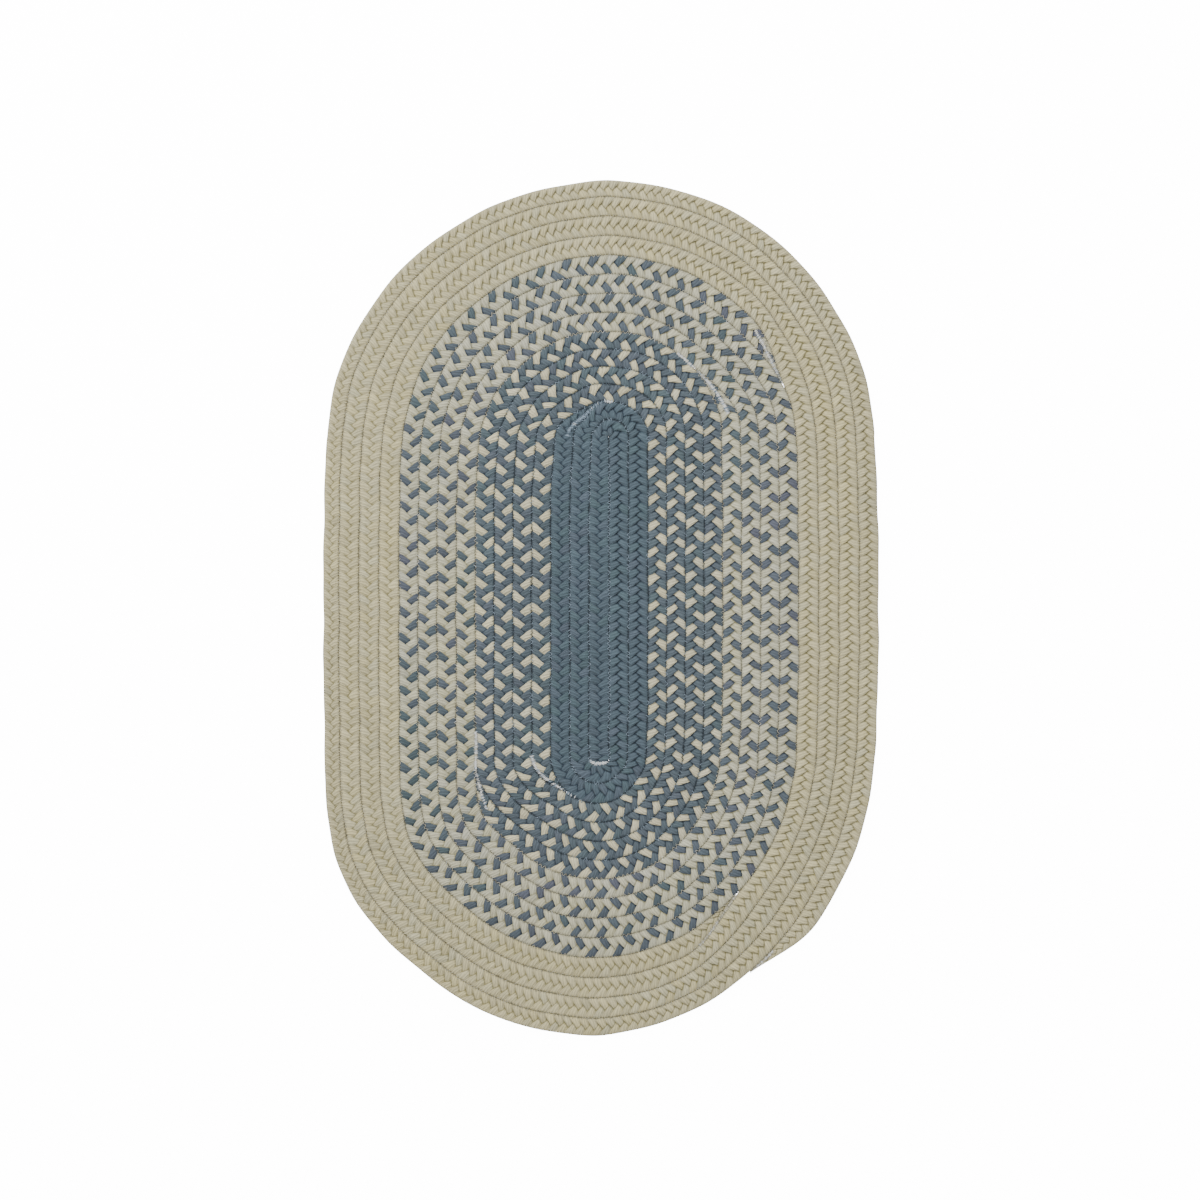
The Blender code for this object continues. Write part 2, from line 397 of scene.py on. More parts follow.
# A quarter of the plait's section, from its side to its middle: how far across, and how far up or down.
TOP_PROFILE = ((0.012, 0.36), (0.07, 0.66), (0.20, 0.88), (0.46, 1.0), (0.78, 0.94), (1.0, 0.64))
UNDER_PROFILES = {
    2: ((0.20, 0.90), (1.0, 0.80)),
    3: ((0.07, 0.62), (0.42, 1.0), (1.0, 0.76)),
}

# For each column, how far past the rug's short middle line an outer accent lobe lies, in periods.
ACCENT_LEAD = {
    "left": {3: 0.90, 4: 0.37, 5: 0.12, 6: 0.88, 7: 0.93, 8: 0.11, 9: 0.55, 10: 0.79},
    "right": {3: 0.42, 4: 0.55, 5: 0.30, 6: 0.80, 7: 0.44, 8: 0.17, 9: 0.80, 10: 0.27},
}

PLAITS = {
    "centre": {"start": ("column", 0), "under": 3, "seed": 11, "slot": "blue_yarn"},
    "inner_band": {"start": ("bottom", (3, None)), "under": 3, "seed": 23, "slot": "blue_yarn_cream_fleck"},
    "outer_band": {"start": ("top", (None, 7)), "under": 3, "seed": 37, "slot": "cream_yarn_blue_fleck"},
    "border": {"start": ("bottom", (11, None)), "under": 2, "seed": 41, "slot": "cream_yarn"},
}


def rhythm(route):
    """How many periods have passed at each of a few places along the plait, so that the accents come where
    ACCENT_LEAD has them: the period is stretched a little from each crossing to the next."""
    places, periods = [], []
    for (side, column), at in route.crossings.items():
        lead = ACCENT_LEAD[side].get(column)
        if lead is None:
            continue
        at += CENTRE_LAG
        passed = (at - places[-1]) / PERIOD + periods[-1] if places else at / PERIOD
        places.append(at)
        periods.append(round(passed + lead) - lead)
    if not places:
        places, periods = [0.0], [0.0]
    first = periods[0] - places[0] / PERIOD
    last = periods[-1] + (route.length - places[-1]) / PERIOD
    return np.array([0.0, *places, route.length]), np.array([first, *periods, last])


class Ring:
    """The points of a plait's section in order: outer side, top, inner side, underside. side is 1 on the
    outer half and -1 on the inner one, across runs from 0 at the side to 1 at the middle, rise from -1 to 1
    up and down, and arc is the share of the way from the side to the middle along the surface. lag grows
    with it, slower at first, so that the lobes are round."""

    def __init__(self, under):
        quarters = []
        for sign, profile in ((1, TOP_PROFILE), (-1, UNDER_PROFILES[under])):
            points = np.array([(0.0, 0.0), *profile])
            arc = lengths(points * (HALF_WIDTH, THICKNESS / 2))
            quarters.append((points[:, 0], sign * points[:, 1], sign * arc / arc[-1]))
        top, bottom = quarters
        order = (
            (top, 1, slice(0, None)),
            (top, -1, slice(-2, None, -1)),
            (bottom, -1, slice(1, None)),
            (bottom, 1, slice(-2, 0, -1)),
        )
        self.across = np.concatenate([quarter[0][part] for quarter, _, part in order])
        self.rise = np.concatenate([quarter[1][part] for quarter, _, part in order])
        self.arc = np.concatenate([quarter[2][part] for quarter, _, part in order])
        self.side = np.concatenate([np.full(len(quarter[0][part]), side) for quarter, side, part in order])
        self.lag = self.arc * (0.2 + 0.8 * np.abs(self.arc))
        self.count = len(self.side)


def bumps(value):
    """1 at both ends of a lobe's width and 0 in between, steepest towards the ends."""
    return np.abs(2 * value - 1) ** 2.6


def lobe_of(station, side):
    """Which lobe a station belongs to, and how far across that lobe it lies from 0 to 1. Inner lobes lie
    half a lobe behind outer ones."""
    shifted = station + np.where(side > 0, STEPS // 2, 0)
    return shifted // STEPS, (shifted % STEPS) / STEPS


def thickness(width):
    """How thick a plait is where it is that wide: less in its narrow ends."""
    return THICKNESS * (END_THICKNESS + (1 - END_THICKNESS) * np.clip(width / zone_of(1)["left"], 0, 1))


def plait_points(route, ring, seed):
    """The skin's points, one ring at each station. Along: the station's own place, drawn towards the
    nearest crease, less the strand's lag. Across: from the side to the zigzag down the middle. Up: the
    section's profile, lowered at the creases."""
    random = np.random.default_rng(seed)
    places, periods = rhythm(route)
    per_period = 3 * STEPS
    stations = np.arange(np.ceil(periods[0] * per_period), np.floor(periods[-1] * per_period) + 1).astype(int)
    at = np.interp(stations / per_period, periods, places)
    pitch = np.gradient(at) * STEPS
    lobes = len(stations) // STEPS + 5
    first = stations[0] // STEPS - 1
    lift = random.normal(0, UNEVEN_HEIGHT, (2, lobes))
    stray = random.normal(0, UNEVEN_PLACE, (2, lobes))
    reach = 1 + random.normal(0, UNEVEN_ZIGZAG, lobes * 2)

    outer = (ring.side > 0)[None, :]
    station = stations[:, None]
    which, value = lobe_of(station, ring.side[None, :])
    family = np.where(outer, 0, 1) + 0 * which
    drawn = -PINCH / (2 * np.pi) * np.sin(2 * np.pi * value)
    strays = stray[family, which - first] * (1 - value) + stray[family, which - first + 1] * value
    free = 1 - ring.across[None, :] ** 2
    near_end = np.clip(np.minimum(at, route.length - at) / NARROW_END, 0, 1)[:, None]
    along = at[:, None] + pitch[:, None] * (drawn + strays) * free - LAG * ring.lag[None, :] * near_end
    along = np.clip(along, 0, route.length)

    turn = 2 * np.pi * stations / STEPS
    saw = 2 * np.abs((stations / STEPS) % 1 - 0.5)
    zig = -ZIGZAG * (0.5 * np.cos(turn) + 0.5 * (2 * saw - 1))
    zig *= reach[np.round(2 * stations / STEPS).astype(int) - 2 * first]
    across = ring.side * (1 - ring.across * (1 - ring.side * zig[:, None]))
    nipped = NIP * bumps(value) * np.clip(1 - ring.across / NIP_REACH, 0, 1) * np.clip(2 * ring.rise, 0, 1)
    flat, width = route.points(along, across * (1 - nipped))

    tall = thickness(width) / 2
    knot = KNOT * (0.5 + 0.5 * np.cos(2 * turn))[:, None]
    middle = ring.across[None, :] == 1
    dip = np.where(middle, knot, CREASE * bumps(value) * (0.4 + 0.6 * ring.across))
    bulge = 1 + np.where(middle, 0, lift[family, which - first]) * (1 - bumps(value))
    height = tall * (1 + ring.rise * (1 - dip) * np.where(ring.rise > 0, bulge, 1))
    height = np.maximum(height, 0)
    points = np.concatenate([settled(flat), height[..., None]], axis=-1)
    return points, stations


def tube_faces(rings, sides):
    """Four-sided faces between each ring and the next, and a fan of triangles round one more point at each
    end, in rings times sides and the two after it."""
    index = np.arange(rings * sides).reshape(rings, sides)
    here, there = index[:-1], index[1:]
    walls = np.stack([here, np.roll(here, -1, 1), np.roll(there, -1, 1), there], axis=2).reshape(-1, 4)
    first, last = index[0], index[-1]
    tip, tail = np.full(sides, rings * sides), np.full(sides, rings * sides + 1)
    fans = np.concatenate([
        np.stack([tip, np.roll(first, -1), first], axis=1),
        np.stack([tail, last, np.roll(last, -1)], axis=1),
    ])
    return walls, fans


def new_piece(name, points, walls, fans):
    """A smooth mesh of four-sided and three-sided faces, put in by whole arrays."""
    mesh = bpy.data.meshes.new(name)
    mesh.vertices.add(len(points))
    mesh.vertices.foreach_set("co", points.astype(np.float32).ravel())
    corners = np.concatenate([walls.ravel(), fans.ravel()])
    sizes = np.concatenate([np.full(len(walls), 4), np.full(len(fans), 3)])
    mesh.loops.add(len(corners))
    mesh.loops.foreach_set("vertex_index", corners.astype(np.int32))
    mesh.polygons.add(len(sizes))
    mesh.polygons.foreach_set("loop_start", np.concatenate([[0], np.cumsum(sizes)[:-1]]).astype(np.int32))
    mesh.polygons.foreach_set("use_smooth", np.ones(len(sizes), bool))
    mesh.update(calc_edges=True)
    mesh.validate()
    piece = bpy.data.objects.new(name, mesh)
    bpy.context.scene.collection.objects.link(piece)
    return piece


def add_map(mesh, name, walls, fans):
    """A UV map from the four corners of each wall and the three of each fan triangle."""
    layer = mesh.uv_layers.new(name=name)
    values = np.concatenate([walls.reshape(-1, 2), fans.reshape(-1, 2)])
    layer.data.foreach_set("uv", values.astype(np.float32).ravel())


def slow_noise(random, count, reach):
    """Random tones that change slowly along a strand: white noise under a bell of the given reach."""
    bell = np.exp(-0.5 * (np.arange(-3 * reach, 3 * reach + 1) / reach) ** 2)
    rough = random.normal(0, 1, count + len(bell) - 1)
    return np.convolve(rough, bell / np.sqrt((bell**2).sum()), "valid")


def dye_of(stations, ring, seed, has_accent):
    """Each wall's dye: red is 1 on the accent strand, green is its tone and blue its hue, both about one
    half, and alpha is a number of its own for each lobe. A strand's tone drifts slowly along it."""
    random = np.random.default_rng(seed + 1000)
    side = wall_sides(ring)
    which, _ = lobe_of(stations[:-1, None], side[None, :])
    first = which.min()
    count = which.max() - first + 1
    strand = np.where(side > 0, which % 3, (which - 1) % 3)
    drift = np.stack([slow_noise(random, count, 9) for _ in range(3)])
    shade = np.stack([slow_noise(random, count, 6) for _ in range(3)])
    own = random.normal(0, 1, (2, 2, count))
    number = random.random((2, count))
    family = np.where(side > 0, 0, 1) + 0 * which
    place = which - first
    tone = 0.5 + 0.13 * (0.6 * drift[strand, place] + 0.8 * own[0][family, place])
    hue = 0.5 + 0.13 * (0.8 * shade[strand, place] + 0.6 * own[1][family, place])
    accent = (strand == 0) * float(has_accent)
    dye = np.stack([accent, np.clip(tone, 0, 1), np.clip(hue, 0, 1), number[family, place]], axis=-1)
    return dye.reshape(-1, 4)


def wall_sides(ring):
    """Which half of the plait the walls after each ring point lie on."""
    top = 2 * len(TOP_PROFILE)
    side = np.ones(ring.count, int)
    side[top // 2 : top + (ring.count - top) // 2] = -1
    return side


def lobe_map(stations, ring):
    """The lobe map's corners: u from the plait's side to its middle, v across the lobe."""
    side = wall_sides(ring)
    _, low = lobe_of(stations[:-1, None], side[None, :])
    high = low + 1 / STEPS
    u_here = np.abs(ring.arc) + 0 * low
    u_next = np.abs(np.roll(ring.arc, -1)) + 0 * low
    corners = ((u_here, low), (u_next, low), (u_next, high), (u_here, high))
    return np.stack([np.stack(corner, axis=-1) for corner in corners], axis=2)


# How many rows each plait's flat map has.
BAKE_ROWS = {"centre": 7, "inner_band": 11, "outer_band": 13, "border": 15}


def bake_map(stations, ring, rows):
    """The plait's skin, cut open under its middle and laid out flat in rows, one above the other."""
    flat = np.stack([ring.side * (1 - ring.across) * HALF_WIDTH, ring.rise * THICKNESS / 2], axis=1)
    cut = 2 * len(TOP_PROFILE) + (ring.count - 2 * len(TOP_PROFILE)) // 2
    order = (np.arange(ring.count + 1) + cut) % ring.count
    around = lengths(flat[order])
    share = np.empty(ring.count)
    share[order[:-1]] = around[:-1] / around[-1]
    share_next = np.roll(share, -1)
    share_next[(cut - 1) % ring.count] = 1.0
    count = len(stations) - 1
    per_row = int(np.ceil(count / rows))
    row, place = np.divmod(np.arange(count), per_row)
    left = (0.02 + 0.96 * place / per_row)[:, None] + 0 * share
    right = (0.02 + 0.96 * (place + 1) / per_row)[:, None] + 0 * share
    low = (row[:, None] + 0.05 + 0.9 * share) / rows
    high = (row[:, None] + 0.05 + 0.9 * share_next) / rows
    corners = ((left, low), (left, high), (right, high), (right, low))
    return np.stack([np.stack(corner, axis=-1) for corner in corners], axis=2)


def plait(name, start, under, seed, slot):
    """A wound plait as one closed skin, with its lobe map, its dye and its flat map."""
    route, ring = Route(start), Ring(under)
    points, stations = plait_points(route, ring, seed)
    ends = np.stack([points[0].mean(axis=0), points[-1].mean(axis=0)])
    walls, fans = tube_faces(len(stations), ring.count)
    piece = new_piece("plait_" + name, np.concatenate([points.reshape(-1, 3), ends]), walls, fans)
    mesh = piece.data
    no_fans = np.zeros((len(fans), 3, 2))
    add_map(mesh, "lobe", lobe_map(stations, ring), no_fans + 0.5)
    spots = np.array([(0.001, 0.001), (0.003, 0.001), (0.001, 0.003)])
    add_map(mesh, "OFBake", bake_map(stations, ring, BAKE_ROWS[name]), no_fans + spots)
    dye = dye_of(stations, ring, seed, "fleck" in slot)
    layer = mesh.attributes.new("dye", "FLOAT_COLOR", "FACE")
    last = np.tile([0, 0.5, 0.5, 0.5], (len(fans), 1))
    layer.data.foreach_set("color", np.concatenate([dye, last]).astype(np.float32).ravel())
    return piece, route


# ---------------------------------------------------------------- the sewing

STITCH = 0.0026  # along the seam, from a stitch on one side to the next on the other
BITE = 0.0016  # how far from the seam a stitch goes in
THREAD = 0.00027  # half the thread's thickness
SEAM_DEPTHS = (0.0008, 0.0021)  # below the rug's top: where a stitch goes in, and where it crosses the seam
CLOSE_THREAD = 0.00043  # half the thickness of the thread that the ends are sewn with
CLOSE = 0.00036  # a quarter of the way that it takes to go from side to side and back
CLOSE_DEPTHS = (0.0002, -0.0003)  # below the plait's top: at the strip's sides, and in its middle
BESIDE_DEPTH = 0.0006  # how much lower the surface is taken to lie beside a seam
TAIL_REACH = 0.0018  # how far to each side the sewing reaches where it goes on along a seam
TAIL_DEPTH = 0.0007  # and how far it lies below the rug's top
TAIL_OVERLAP = 0.002  # how far before a tip the tail behind it starts
FIRST_PART = 0.3  # the part of a plait, from its start, in which no tail is looked for
UNEVEN_DEPTH = 0.0002  # how far a stitch lies from those depths, as a rule
UNEVEN_REACH = 0.25  # as a share of the stitch's reach
INNER_SEAM = -1.0  # across the plait

# The thread in each plait's inner seam: its dyes and how much of each shows; shaded_cream among them is cream
# thread with painted shade.
SEAMS = {
    "centre": {"navy": 0.35, "mid_blue": 0.20, "pale_blue": 0.45},
    "inner_band": {"navy": 0.45, "mid_blue": 0.30, "pale_blue": 0.25},
    "outer_band": {"cream": 0.65, "shaded_cream": 0.30, "white": 0.05},
    "border": {"cream": 0.65, "shaded_cream": 0.35},
}
FIRST_SEAM = {"pale_blue": 0.70, "navy": 0.30}  # between columns 0 and 1

# The close sewing over column 0's blunt end: its dyes, and from where to where it runs along the first turn
# round that end.
BLUNT_END = {"white": 0.75, "pale_blue": 0.25}
BLUNT_SPAN = (-0.002, 0.044)

# Where a plait's narrow end is sewn over closely: its start or end, how much of its length, where the strip
# of sewing lies across the plait at the tip and at its far end, how far it reaches to each side, its dyes;
# shaded_cream among them is cream thread with painted shade.
SEWN_ENDS = {
    "centre": ("end", 0.060, -0.6, -0.35, 0.0024, {"white": 0.06, "pale_blue": 0.54, "mid_blue": 0.40}),
    "inner_band": ("start", 0.050, 0.1, 1.0, 0.0024, {"white": 0.65, "pale_blue": 0.15, "navy": 0.20}),
    "outer_band": ("start", 0.060, 0.0, -0.1, 0.0026, {"white": 0.70, "pale_blue": 0.20, "mid_blue": 0.10}),
    "border": ("start", 0.062, 0.9, 1.0, 0.0016, {"white": 0.10, "cream": 0.65, "shaded_cream": 0.25}),
}
SEWN_TIPS = {
    "inner_band": ("end", 0.046, -0.6, 0.2, 0.0023, {"white": 0.75, "pale_blue": 0.15, "navy": 0.10}),
    "outer_band": ("end", 0.064, -0.4, 0.4, 0.0022, {"white": 0.60, "cream": 0.25, "pale_blue": 0.15}),
    "border": ("end", 0.034, 0.0, -0.6, 0.0016, {"white": 0.60, "cream": 0.40}),
}

# Sewing that goes on along the seam where a plait is not there any more: how far ahead of the plait's own
# start, how far behind the end of the plait that it goes round, and its dyes.
TAILS = {
    "inner_band": (0.014, 0.010, {"white": 0.45, "pale_blue": 0.35, "navy": 0.20}),
    "outer_band": (0.029, 0.041, {"white": 0.75, "cream": 0.15, "pale_blue": 0.10}),
}


def zigzag(route, at, across, reach, random):
    """A stitch to each place along the route: in at one side, up over the middle of the strip and in at the
    other side, a little unevenly."""
    turns = np.arange(len(at))
    uneven = 1 + UNEVEN_REACH * random.normal(0, 1, len(at))
    swing = np.array([1, 0, -1, 0])[turns % 4] * reach * uneven
    _, width = route.points(at, across)
    flat, _ = route.points(at, across + 2 * swing / width)
    return settled(flat), width


def depths_of(count, depths, random):
    """How deep the points of a zigzag lie: the two depths by turns, a little unevenly."""
    return np.where(np.arange(count) % 2 == 0, *depths) + UNEVEN_DEPTH * random.normal(0, 1, count)


def seam_path(route, start, random):
    """Stitches over the plait's inner seam, sunk in the furrow between the two plaits."""
    at = np.arange(start, route.length, STITCH / 2)
    flat, _ = zigzag(route, at, INNER_SEAM, BITE, random)
    sunk = depths_of(len(at), SEAM_DEPTHS, random)
    return np.concatenate([flat, (THICKNESS - sunk)[:, None]], axis=1)


def end_path(route, end, length, tip, far, reach, random):
    """Close stitches that lie on a plait's narrow end, level with its top, or with the furrow beside it
    where the strip leaves the plait."""
    share = np.arange(0, 1, CLOSE / length)
    at = share * length if end == "start" else route.length - share * length
    across = tip + (far - tip) * share
    flat, width = zigzag(route, at, across, reach, random)
    off = smooth((np.abs(across) - 0.7) / 0.3)
    top = thickness(width) * (1 - off) + (THICKNESS - BESIDE_DEPTH) * off
    sunk = depths_of(len(at), CLOSE_DEPTHS, random)
    return np.concatenate([flat, (top - sunk)[:, None]], axis=1)


def tail_path(route, first, last, random):
    """Close stitches over the plait's inner seam, from one place along it to another."""
    at = np.arange(first, last, CLOSE)
    flat, _ = zigzag(route, at, INNER_SEAM, TAIL_REACH, random)
    high = THICKNESS - TAIL_DEPTH + UNEVEN_DEPTH * random.normal(0, 1, len(at))
    return np.concatenate([flat, high[:, None]], axis=1)


def beside(route, tip):
    """How far along the plait its inner edge passes closest to the tip. Its first part is left out, because
    the tip may be its own."""
    away = np.linalg.norm(route.inner - tip, axis=1) + (route.along < FIRST_PART)
    return route.along[np.argmin(away)]


def thread(name, path, half, dyes_and_shade, random):
    """A thread of four sides along the path, half its thickness to each side. Each stitch has one of the
    colours by chance; shaded_cream among them is cream thread with painted shade."""
    along = np.gradient(path, axis=0)
    along /= np.linalg.norm(along, axis=1, keepdims=True)
    left = np.cross([0, 0, 1], along)
    left /= np.linalg.norm(left, axis=1, keepdims=True)
    above = np.cross(along, left)
    ring = np.stack([left, above, -left, -above], axis=1)
    points = path[:, None, :] + half * ring
    walls, fans = tube_faces(len(path), 4)
    piece = new_piece(name, np.concatenate([points.reshape(-1, 3), path[[0, -1]]]), walls, fans)
    for dye in dyes_and_shade:
        piece.data.materials.append(threads[dye])
    stitch = random.choice(len(dyes_and_shade), size=len(path) // 2 + 1, p=list(dyes_and_shade.values()))
    chosen = np.concatenate([np.repeat(stitch[np.arange(len(path) - 1) // 2], 4), np.zeros(len(fans), int)])
    piece.data.polygons.foreach_set("material_index", chosen.astype(np.int32))
    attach(piece, "root")
    return piece


def sewing(name, route, before, seed):
    """All the thread that belongs to one plait. before is the route of the plait that it goes round."""
    random = np.random.default_rng(seed + 500)
    sewn = []
    start = 0.0
    if name == "centre":
        first = route.crossings["right", 1] - STRAIGHT / 2
        start = first + STRAIGHT
        path = seam_path(route, first, random)
        path = path[: int(STRAIGHT / (STITCH / 2))]
        sewn.append(thread("first_seam_thread", path, THREAD, FIRST_SEAM, random))
        path = tail_path(route, start + BLUNT_SPAN[0], start + BLUNT_SPAN[1], random)
        sewn.append(thread("blunt_end_thread", path, CLOSE_THREAD, BLUNT_END, random))
    path = seam_path(route, start, random)
    sewn.append(thread("seam_thread_" + name, path, THREAD, SEAMS[name], random))
    for word, table in (("end", SEWN_ENDS), ("tip", SEWN_TIPS)):
        if name in table:
            *place, dyes_and_shade = table[name]
            path = end_path(route, *place, random)
            sewn.append(thread(word + "_thread_" + name, path, CLOSE_THREAD, dyes_and_shade, random))
    if name in TAILS:
        ahead, behind, dyes_and_shade = TAILS[name]
        own = beside(route, route.inner[0])
        path = tail_path(route, own - ahead, own, random)
        sewn.append(thread("start_tail_" + name, path, CLOSE_THREAD, dyes_and_shade, random))
        passed = beside(route, before.outer[-1])
        path = tail_path(route, passed - TAIL_OVERLAP, passed + behind, random)
        sewn.append(thread("end_tail_" + name, path, CLOSE_THREAD, dyes_and_shade, random))
    return sewn


# ---------------------------------------------------------------- materials

# Each dye in three shades, and the painted shadow colour that its creases, seams and furrows multiply it by.
BLUES = ((0.083, 0.127, 0.145), (0.085, 0.122, 0.150), (0.093, 0.121, 0.154))
BAND_BLUES = ((0.090, 0.127, 0.142), (0.095, 0.124, 0.147), (0.102, 0.124, 0.152))
FLECK_BLUES = ((0.082, 0.118, 0.132), (0.094, 0.118, 0.144), (0.108, 0.118, 0.154))
CREAMS = ((0.630, 0.560, 0.300), (0.615, 0.555, 0.325), (0.590, 0.550, 0.350))
BAND_CREAMS = ((0.595, 0.565, 0.370), (0.580, 0.560, 0.400), (0.555, 0.550, 0.430))
FLECK_CREAMS = ((0.660, 0.605, 0.390), (0.650, 0.600, 0.405), (0.630, 0.590, 0.420))
NAVY_SHADOW = (0.24, 0.30, 0.37)
OLIVE_SHADOW = (0.47, 0.46, 0.38)
TAN_SHADOW = (0.58, 0.56, 0.46)
GREY_SHADOW = (0.80, 0.80, 0.80)

# How strongly each mask darkens the yarn with painted shadow: in the creases, at the seams and in the
# furrows.
MASKS = {"Crease": 1.0, "Seam": 0.45, "Tug": 0.6}

YARNS = 4  # side by side in a strand
RELIEF = 0.0006  # how far they stand out

# Sewing thread; shaded_cream is cream thread darkened with painted shade.
THREADS = {
    "white": (0.82, 0.83, 0.81),
    "pale_blue": (0.32, 0.41, 0.50),
    "mid_blue": (0.115, 0.16, 0.20),
    "navy": (0.035, 0.055, 0.075),
    "cream": (0.60, 0.57, 0.44),
    # cream thread with painted shade
    "shaded_cream": (0.32, 0.30, 0.22),
}


def node(tree, kind, inputs=(), **settings):
    """Adds a node, with its settings and with values or links on its inputs."""
    made = tree.nodes.new(kind)
    for name, value in settings.items():
        setattr(made, name, value)
    for name, value in dict(inputs).items():
        if isinstance(value, bpy.types.NodeSocket):
            tree.links.new(value, made.inputs[name])
        else:
            made.inputs[name].default_value = value
    return made


def maths(tree, operation, *values):
    return node(tree, "ShaderNodeMath", enumerate(values), operation=operation).outputs[0]


def ramp(tree, value, low, high, to_low, to_high):
    """A value mapped smoothly from one range to another, held beyond its ends."""
    inputs = {"Value": value, "From Min": low, "From Max": high, "To Min": to_low, "To Max": to_high}
    return node(tree, "ShaderNodeMapRange", inputs, interpolation_type="SMOOTHSTEP").outputs["Result"]


def blended(tree, share, first, second, kind="MIX"):
    made = node(tree, "ShaderNodeMix", {"Factor": share}, data_type="RGBA", blend_type=kind)
    for socket, value in (("A_Color", first), ("B_Color", second)):
        place = next(i for i in made.inputs if i.identifier == socket)
        if isinstance(value, bpy.types.NodeSocket):
            tree.links.new(value, place)
        else:
            place.default_value = (*value, 1)
    return next(o for o in made.outputs if o.identifier == "Result_Color")


def lobe_group():
    """What every plait's yarn shares, read from the lobe map and the dye. Crease is 1 in the creases round a
    lobe, Seam at the plait's side, and Tug in the short furrows that the sewing pulls there: the masks of
    painted shade in those hollows. Yarn is 1 along the crest of each of a strand's yarns and 0 between them.
    Fibre is a fine streaked noise along the strand.
    Accent, Tone and Hue are the dye's numbers."""
    tree = bpy.data.node_groups.new("lobe_yarn", "ShaderNodeTree")
    for name in ("Crease", "Seam", "Tug", "Yarn", "Fibre", "Accent", "Tone", "Hue"):
        tree.interface.new_socket(name=name, in_out="OUTPUT", socket_type="NodeSocketFloat")
    place = node(tree, "ShaderNodeUVMap", uv_map="lobe").outputs["UV"]
    parts = node(tree, "ShaderNodeSeparateXYZ", {"Vector": place})
    along, across = parts.outputs["X"], parts.outputs["Y"]
    dye = node(tree, "ShaderNodeAttribute", attribute_name="dye")
    shades = node(tree, "ShaderNodeSeparateColor", {"Color": dye.outputs["Color"]})
    number = maths(tree, "MULTIPLY", dye.outputs["Alpha"], 37.0)

    streak = node(tree, "ShaderNodeCombineXYZ", {
        "X": maths(tree, "MULTIPLY", along, 3.0),
        "Y": maths(tree, "MULTIPLY", across, 16.0),
        "Z": number,
    })
    fibre = node(tree, "ShaderNodeTexNoise", {"Vector": streak.outputs[0], "Scale": 1.6, "Detail": 3.0})
    wander = node(tree, "ShaderNodeTexNoise", {
        "Vector": node(tree, "ShaderNodeCombineXYZ", {"X": along, "Y": across, "Z": number}).outputs[0],
        "Scale": 1.8, "Detail": 1.0,
    })
    strayed = maths(tree, "MULTIPLY_ADD", wander.outputs["Fac"], 0.22, across)
    wave = maths(tree, "COSINE", maths(tree, "MULTIPLY", strayed, YARNS * 2 * np.pi))
    yarn = maths(tree, "MULTIPLY_ADD", wave, -0.5, 0.5)

    # painted shade: Crease darkens the creases round a lobe, the zigzag down the middle and the pits where
    # lobes meet
    edge = maths(tree, "MINIMUM", across, maths(tree, "SUBTRACT", 1.0, across))
    crease = ramp(tree, edge, 0.0, 0.18, 1.0, 0.0)
    crease = maths(tree, "MULTIPLY", crease, ramp(tree, along, 0.35, 0.90, 0.03, 0.80))
    middle = ramp(tree, maths(tree, "SUBTRACT", 1.0, along), 0.0, 0.17, 1.0, 0.0)
    sideways = maths(tree, "POWER", maths(tree, "MULTIPLY_ADD", edge, -2.0, 1.0), 2.0)
    endways = maths(tree, "POWER", ramp(tree, along, 0.55, 1.0, 0.0, 1.0), 2.0)
    corner = ramp(tree, maths(tree, "ADD", sideways, endways), 0.80, 1.6, 0.0, 1.0)
    crease = maths(tree, "MAXIMUM", crease, corner)
    # painted shade at the plait's side, where it dips into the seam, and in the furrows that the sewing pulls
    seam = ramp(tree, along, 0.05, 0.24, 1.0, 0.0)
    furrow = maths(tree, "POWER", maths(tree, "SUBTRACT", 1.0, yarn), 3.0)
    tug = maths(tree, "MULTIPLY", furrow, ramp(tree, along, 0.12, 0.42, 1.0, 0.0))

    out = node(tree, "NodeGroupOutput")
    found = {
        "Crease": maths(tree, "MAXIMUM", crease, middle),
        "Seam": seam,
        "Tug": tug,
        "Yarn": yarn,
        "Fibre": fibre.outputs["Fac"],
        "Accent": shades.outputs["Red"],
        "Tone": shades.outputs["Green"],
        "Hue": shades.outputs["Blue"],
    }
    for name, socket in found.items():
        tree.links.new(socket, out.inputs[name])
    return tree


def toned(tree, lobe, low, plain, high):
    """A dye colour from its three shades by the hue: the first at 0, the second at a half, the third at 1."""
    below = ramp(tree, lobe.outputs["Hue"], 0.2, 0.5, 0.0, 1.0)
    above = ramp(tree, lobe.outputs["Hue"], 0.5, 0.8, 0.0, 1.0)
    return blended(tree, above, blended(tree, below, low, plain), high)


